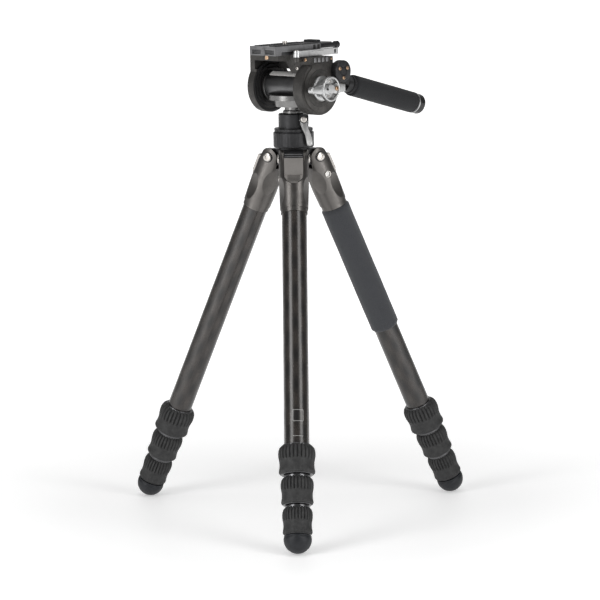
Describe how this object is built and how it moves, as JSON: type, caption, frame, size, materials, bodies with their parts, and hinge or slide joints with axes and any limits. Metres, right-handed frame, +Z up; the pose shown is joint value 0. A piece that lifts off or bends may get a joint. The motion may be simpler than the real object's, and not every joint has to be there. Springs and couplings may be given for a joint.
{
  "type": "tripod with fluid head",
  "caption": "Folding carbon tripod with twist-lock telescopic legs, a foam leg sleeve, and a fluid pan-and-tilt head with a quick-release plate, clamp lever and foam pan handle.",
  "frame": {"origin": "on the ground under the tripod's central axis", "axes": "+Z up, +X along the head's tilt axis towards the tilt knob, +Y towards the pan handle, so a lens points along -Y"},
  "size_m": [0.4296, 0.437, 0.6305],
  "materials": {
    "carbon": "clear-coated woven carbon",
    "cast_metal": "satin dark grey anodised",
    "dark_metal": "matte black anodised",
    "head_metal": "fine-grained dark grey",
    "plate_metal": "bead-blasted grey anodised",
    "drum_metal": "satin grey",
    "silver_metal": "satin silver",
    "steel": "polished stainless",
    "brass": "copper-tinted screw",
    "grip_rubber": "matte ribbed rubber over metal",
    "foot_rubber": "matte rubber",
    "foam": "closed-cell foam",
    "gloss_black": "gloss black end cap"
  },
  "bodies": {
    "base": {"spider": "dark_metal", "collar": "dark_metal", "stud": "steel", "barrel": "dark_metal"},
    "leg_1": {"leg_1_casting": "cast_metal", "leg_1_bolt": "steel", "leg_1_tube_1": "carbon"},
    "leg_1_angle_tab": {"leg_1_tab": "cast_metal"},
    "leg_1_ring_1": {"leg_1_lock_1": "grip_rubber"},
    "leg_1_section_2": {"leg_1_tube_2": "carbon"},
    "leg_1_ring_2": {"leg_1_lock_2": "grip_rubber"},
    "leg_1_section_3": {"leg_1_tube_3": "carbon"},
    "leg_1_ring_3": {"leg_1_lock_3": "grip_rubber"},
    "leg_1_section_4": {"leg_1_tube_4": "carbon", "leg_1_foot": "foot_rubber"},
    "leg_2": {"leg_2_casting": "cast_metal", "leg_2_bolt": "steel", "leg_2_tube_1": "carbon", "leg_2_sleeve": "foam"},
    "leg_2_angle_tab": {"leg_2_tab": "cast_metal"},
    "leg_2_ring_1": {"leg_2_lock_1": "grip_rubber"},
    "leg_2_section_2": {"leg_2_tube_2": "carbon"},
    "leg_2_ring_2": {"leg_2_lock_2": "grip_rubber"},
    "leg_2_section_3": {"leg_2_tube_3": "carbon"},
    "leg_2_ring_3": {"leg_2_lock_3": "grip_rubber"},
    "leg_2_section_4": {"leg_2_tube_4": "carbon", "leg_2_foot": "foot_rubber"},
    "leg_3": {"leg_3_casting": "cast_metal", "leg_3_bolt": "steel", "leg_3_tube_1": "carbon"},
    "leg_3_angle_tab": {"leg_3_tab": "cast_metal"},
    "leg_3_ring_1": {"leg_3_lock_1": "grip_rubber"},
    "leg_3_section_2": {"leg_3_tube_2": "carbon"},
    "leg_3_ring_2": {"leg_3_lock_2": "grip_rubber"},
    "leg_3_section_3": {"leg_3_tube_3": "carbon"},
    "leg_3_ring_3": {"leg_3_lock_3": "grip_rubber"},
    "leg_3_section_4": {"leg_3_tube_4": "carbon", "leg_3_foot": "foot_rubber"},
    "pan_head": {"pan_base": "silver_metal", "drum": "drum_metal"},
    "pan_lock": {"pan_lever": "silver_metal", "pan_screw": "brass"},
    "tilt_head": {"left_cheek": "head_metal", "right_cheek": "head_metal", "deck": "head_metal", "bracket": "head_metal", "fixed_jaw": "head_metal"},
    "tilt_lock": {"tilt_knob": "silver_metal"},
    "handle": {"handle_arm": "dark_metal", "handle_tube": "dark_metal", "handle_grip": "foam", "handle_cap": "gloss_black"},
    "clamp_handle": {"clamp_lever": "silver_metal"},
    "jaw": {"clamp_jaw": "head_metal"},
    "quick_plate": {"plate": "plate_metal", "lens_stop": "grip_rubber", "safety_screw": "brass"},
    "top_screw": {"camera_screw": "steel"},
    "rear_knob": {"stop_knob": "dark_metal"}
  },
  "joints": [
    {"name": "leg_1_fold", "type": "hinge", "parent": "base", "child": "leg_1", "pos_m": [0.01978, -0.02121, 0.4779], "axis": [0.7314, 0.682, 0], "range_deg": [0, 24.4]},
    {"name": "leg_1_tab_pull", "type": "slide", "parent": "leg_1", "child": "leg_1_angle_tab", "axis": [0.6211, -0.666, 0.4131], "range_m": [0, 0.004], "stiffness_N_per_m": 300, "springref_m": -0.003},
    {"name": "leg_1_lock_1_twist", "type": "hinge", "parent": "leg_1", "child": "leg_1_ring_1", "pos_m": [0.12771, -0.13695, 0.12901], "axis": [0.2817, -0.3021, -0.9107], "range_deg": [0, 90]},
    {"name": "leg_1_section_2_slide", "type": "slide", "parent": "leg_1", "child": "leg_1_section_2", "axis": [0.2817, -0.3021, -0.9107], "range_m": [0, 0.31]},
    {"name": "leg_1_lock_2_twist", "type": "hinge", "parent": "leg_1_section_2", "child": "leg_1_ring_2", "pos_m": [0.1389, -0.14895, 0.09286], "axis": [0.2817, -0.3021, -0.9107], "range_deg": [0, 90]},
    {"name": "leg_1_section_3_slide", "type": "slide", "parent": "leg_1_section_2", "child": "leg_1_section_3", "axis": [0.2817, -0.3021, -0.9107], "range_m": [0, 0.31]},
    {"name": "leg_1_lock_3_twist", "type": "hinge", "parent": "leg_1_section_3", "child": "leg_1_ring_3", "pos_m": [0.14991, -0.16076, 0.05725], "axis": [0.2817, -0.3021, -0.9107], "range_deg": [0, 90]},
    {"name": "leg_1_section_4_slide", "type": "slide", "parent": "leg_1_section_3", "child": "leg_1_section_4", "axis": [0.2817, -0.3021, -0.9107], "range_m": [0, 0.31]},
    {"name": "leg_2_fold", "type": "hinge", "parent": "base", "child": "leg_2", "pos_m": [0.00848, 0.02773, 0.4779], "axis": [-0.9563, 0.2924, 0], "range_deg": [0, 24.4]},
    {"name": "leg_2_tab_pull", "type": "slide", "parent": "leg_2", "child": "leg_2_angle_tab", "axis": [0.2663, 0.8709, 0.4131], "range_m": [0, 0.004], "stiffness_N_per_m": 300, "springref_m": -0.003},
    {"name": "leg_2_lock_1_twist", "type": "hinge", "parent": "leg_2", "child": "leg_2_ring_1", "pos_m": [0.05475, 0.17908, 0.12901], "axis": [0.1208, 0.3951, -0.9107], "range_deg": [0, 90]},
    {"name": "leg_2_section_2_slide", "type": "slide", "parent": "leg_2", "child": "leg_2_section_2", "axis": [0.1208, 0.3951, -0.9107], "range_m": [0, 0.31]},
    {"name": "leg_2_lock_2_twist", "type": "hinge", "parent": "leg_2_section_2", "child": "leg_2_ring_2", "pos_m": [0.05954, 0.19476, 0.09286], "axis": [0.1208, 0.3951, -0.9107], "range_deg": [0, 90]},
    {"name": "leg_2_section_3_slide", "type": "slide", "parent": "leg_2_section_2", "child": "leg_2_section_3", "axis": [0.1208, 0.3951, -0.9107], "range_m": [0, 0.31]},
    {"name": "leg_2_lock_3_twist", "type": "hinge", "parent": "leg_2_section_3", "child": "leg_2_ring_3", "pos_m": [0.06427, 0.21021, 0.05725], "axis": [0.1208, 0.3951, -0.9107], "range_deg": [0, 90]},
    {"name": "leg_2_section_4_slide", "type": "slide", "parent": "leg_2_section_3", "child": "leg_2_section_4", "axis": [0.1208, 0.3951, -0.9107], "range_m": [0, 0.31]},
    {"name": "leg_3_fold", "type": "hinge", "parent": "base", "child": "leg_3", "pos_m": [-0.02826, -0.00652, 0.4779], "axis": [0.225, -0.9744, 0], "range_deg": [0, 24.4]},
    {"name": "leg_3_tab_pull", "type": "slide", "parent": "leg_3", "child": "leg_3_angle_tab", "axis": [-0.8873, -0.2049, 0.4131], "range_m": [0, 0.004], "stiffness_N_per_m": 300, "springref_m": -0.003},
    {"name": "leg_3_lock_1_twist", "type": "hinge", "parent": "leg_3", "child": "leg_3_ring_1", "pos_m": [-0.18246, -0.04212, 0.12901], "axis": [-0.4025, -0.0929, -0.9107], "range_deg": [0, 90]},
    {"name": "leg_3_section_2_slide", "type": "slide", "parent": "leg_3", "child": "leg_3_section_2", "axis": [-0.4025, -0.0929, -0.9107], "range_m": [0, 0.31]},
    {"name": "leg_3_lock_2_twist", "type": "hinge", "parent": "leg_3_section_2", "child": "leg_3_ring_2", "pos_m": [-0.19844, -0.04581, 0.09286], "axis": [-0.4025, -0.0929, -0.9107], "range_deg": [0, 90]},
    {"name": "leg_3_section_3_slide", "type": "slide", "parent": "leg_3_section_2", "child": "leg_3_section_3", "axis": [-0.4025, -0.0929, -0.9107], "range_m": [0, 0.31]},
    {"name": "leg_3_lock_3_twist", "type": "hinge", "parent": "leg_3_section_3", "child": "leg_3_ring_3", "pos_m": [-0.21418, -0.04945, 0.05725], "axis": [-0.4025, -0.0929, -0.9107], "range_deg": [0, 90]},
    {"name": "leg_3_section_4_slide", "type": "slide", "parent": "leg_3_section_3", "child": "leg_3_section_4", "axis": [-0.4025, -0.0929, -0.9107], "range_m": [0, 0.31]},
    {"name": "pan", "type": "hinge", "parent": "base", "child": "pan_head", "pos_m": [0, 0, 0.53], "axis": [0, 0, 1], "continuous": true},
    {"name": "pan_lever_turn", "type": "hinge", "parent": "base", "child": "pan_lock", "pos_m": [0.02477, -0.00603, 0.5295], "axis": [0.682, -0.7314, 0], "range_deg": [0, 80]},
    {"name": "tilt", "type": "hinge", "parent": "pan_head", "child": "tilt_head", "pos_m": [0, 0, 0.57], "axis": [1, 0, 0], "range_deg": [-35, 60]},
    {"name": "tilt_knob_turn", "type": "hinge", "parent": "tilt_head", "child": "tilt_lock", "pos_m": [0.06, 0, 0.57], "axis": [1, 0, 0], "range_deg": [0, 150]},
    {"name": "handle_angle", "type": "hinge", "parent": "tilt_head", "child": "handle", "pos_m": [0.045, 0.035, 0.59], "axis": [1, 0, 0], "range_deg": [-15, 60]},
    {"name": "clamp_lever_swing", "type": "hinge", "parent": "tilt_head", "child": "clamp_handle", "pos_m": [0.029, -0.022, 0.611], "axis": [0, 0, -1], "range_deg": [0, 90]},
    {"name": "clamp_jaw_slide", "type": "slide", "parent": "tilt_head", "child": "jaw", "axis": [1, 0, 0], "range_m": [0, 0.00126]},
    {"name": "plate_slide", "type": "slide", "parent": "tilt_head", "child": "quick_plate", "axis": [0, 1, 0], "range_m": [-0.02, 0.018]},
    {"name": "camera_screw_turn", "type": "hinge", "parent": "quick_plate", "child": "top_screw", "pos_m": [0, -0.014, 0.62], "axis": [0, 0, 1], "continuous": true},
    {"name": "stop_knob_turn", "type": "hinge", "parent": "quick_plate", "child": "rear_knob", "pos_m": [0.0175, 0.04, 0.622], "axis": [0, 1, 0], "continuous": true}
  ],
  "couplings": [
    {"joint": "clamp_jaw_slide", "follows": "clamp_lever_swing", "m_per_rad": 0.0008}
  ]
}
